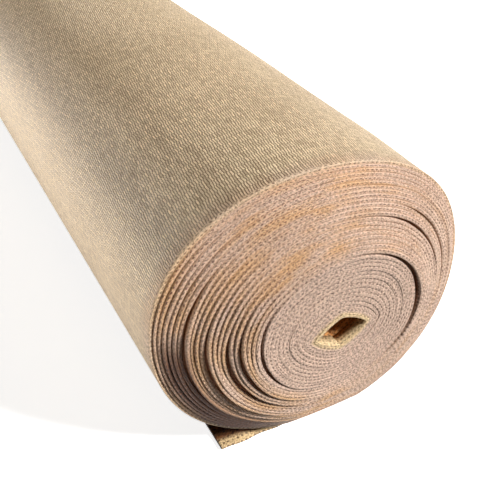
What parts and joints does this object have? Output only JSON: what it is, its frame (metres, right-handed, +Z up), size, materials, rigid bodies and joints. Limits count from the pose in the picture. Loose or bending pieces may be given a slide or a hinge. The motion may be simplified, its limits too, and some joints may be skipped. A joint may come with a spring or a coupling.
{
  "type": "roll of knitted shade cloth",
  "caption": "Long soft roll of beige knitted shade cloth, folded in two and wound without a core, lying on its side with its loose end out on the floor.",
  "frame": {"origin": "on the floor under the middle of the roll's length and width, in the middle of its flat spot", "axes": "+Y along the roll from its folded-edge end to its far end, +Z up, +X to the right seen from the folded-edge end; the loose end lies towards -X"},
  "size_m": [0.2918, 1.8735, 0.2465],
  "materials": {
    "knitted_cloth": "matt knitted plastic yarn in sandy beige, rosier at the folded edges, with small open holes in rows",
    "knitted_cloth_end": "the same knitted cloth, two layers lying loose"
  },
  "bodies": {
    "root": {"cloth_roll": "knitted_cloth", "loose_end": "knitted_cloth_end"}
  },
  "joints": []
}
